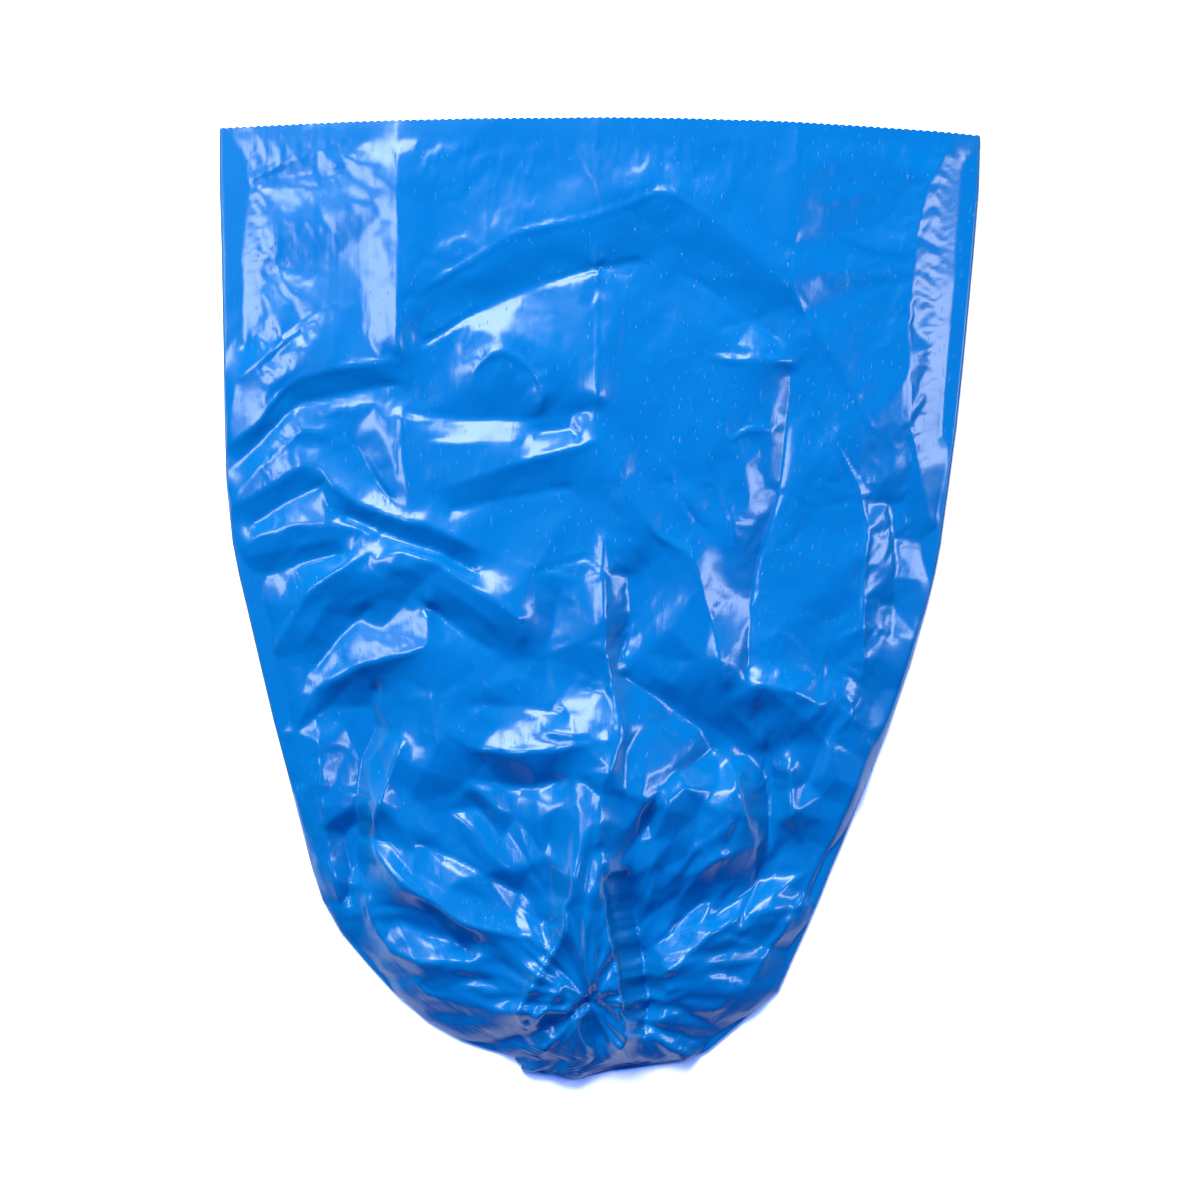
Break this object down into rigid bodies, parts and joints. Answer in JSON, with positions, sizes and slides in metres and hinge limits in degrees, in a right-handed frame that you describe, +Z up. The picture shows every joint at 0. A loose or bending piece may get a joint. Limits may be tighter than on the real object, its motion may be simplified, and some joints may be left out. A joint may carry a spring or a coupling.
{
  "type": "trash can liner",
  "caption": "Thin blue film can liner lying flat and rumpled, open at its torn-off mouth and gathered into a star seal at the bottom.",
  "frame": {"origin": "middle of the liner's underside, on the floor it lies on", "axes": "+Y from the gathered seal towards the open mouth, +X along the mouth, +Z up from the floor"},
  "size_m": [0.61, 0.768, 0.0468],
  "materials": {
    "film": "glossy blown polyethylene film"
  },
  "bodies": {
    "root": {"liner_film": "film"}
  },
  "joints": []
}
